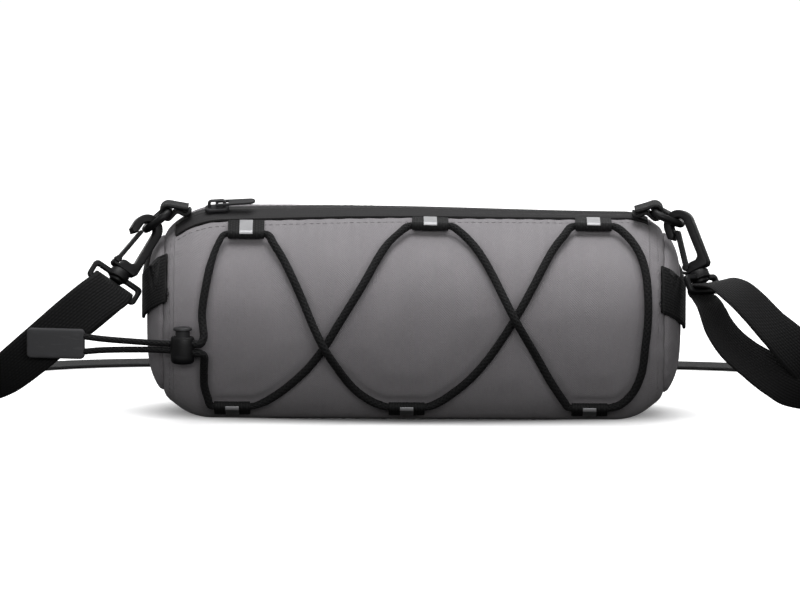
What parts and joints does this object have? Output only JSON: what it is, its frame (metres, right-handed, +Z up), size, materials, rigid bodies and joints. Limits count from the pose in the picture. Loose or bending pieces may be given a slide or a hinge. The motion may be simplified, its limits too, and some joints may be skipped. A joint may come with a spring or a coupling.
{
  "type": "handlebar bag",
  "caption": "Small soft barrel bag with a top zip, elastic cord laced across its front, webbing end bands, and a webbing shoulder strap on swivel snap hooks.",
  "frame": {"origin": "on the floor, under the middle of the bag's flat bottom", "axes": "+X along the bag to its right end as seen from the front, +Y from the front to the back, +Z up"},
  "size_m": [0.4535, 0.2363, 0.0977],
  "materials": {
    "fabric": "matte woven",
    "zip_tape": "matte coated",
    "webbing": "ribbed weave",
    "elastic": "braided",
    "plastic": "satin",
    "tab": "matte"
  },
  "bodies": {
    "bag": {"barrel_panel": "fabric", "end_panel_left": "fabric", "end_panel_right": "fabric", "zip_tape_front": "zip_tape", "zip_tape_back": "zip_tape", "zip_slider": "plastic", "cord_loop_top_left": "webbing", "cord_loop_top_middle": "webbing", "cord_loop_top_right": "webbing", "cord_loop_bottom_left": "webbing", "cord_loop_bottom_middle": "webbing", "cord_loop_bottom_right": "webbing", "elastic_cord": "elastic", "cord_lock_body": "plastic", "cord_tail_upper": "elastic", "cord_tail_lower": "elastic", "pull_tab": "tab", "side_handle_left": "webbing", "side_handle_right": "webbing", "d_ring_left": "plastic", "d_ring_right": "plastic", "d_ring_tab_left": "webbing", "d_ring_tab_right": "webbing", "hook_left": "plastic", "hook_right": "plastic", "strap_ring_left": "plastic", "strap_ring_right": "plastic", "handlebar_strap_left": "webbing", "handlebar_strap_right": "webbing", "shoulder_strap": "webbing", "strap_slider": "plastic"},
    "gate_left": {"gate_left": "plastic"},
    "gate_right": {"gate_right": "plastic"},
    "plunger": {"cord_lock_plunger": "plastic"},
    "zip_pull": {"zip_pull": "plastic"}
  },
  "joints": [
    {"name": "gate_left_hinge", "type": "hinge", "parent": "bag", "child": "gate_left", "pos_m": [-0.13146, -0.02269, 0.0709], "axis": [-0.3334, 0.9011, -0.2771], "range_deg": [0, 12], "stiffness_Nm_per_rad": 0.0012, "springref_deg": -11.46},
    {"name": "gate_right_hinge", "type": "hinge", "parent": "bag", "child": "gate_right", "pos_m": [0.12084, -0.02248, 0.06826], "axis": [0.3895, 0.9011, -0.1904], "range_deg": [0, 12], "stiffness_Nm_per_rad": 0.0012, "springref_deg": -11.46},
    {"name": "plunger_slide", "type": "slide", "parent": "bag", "child": "plunger", "axis": [0, 0, -1], "range_m": [0, 0.0025], "stiffness_N_per_m": 100, "springref_m": -0.0015},
    {"name": "zip_pull_hinge", "type": "hinge", "parent": "bag", "child": "zip_pull", "pos_m": [-0.08776, -0.01522, 0.0951], "axis": [0, -0.9693, -0.2459], "range_deg": [0, 160]}
  ]
}
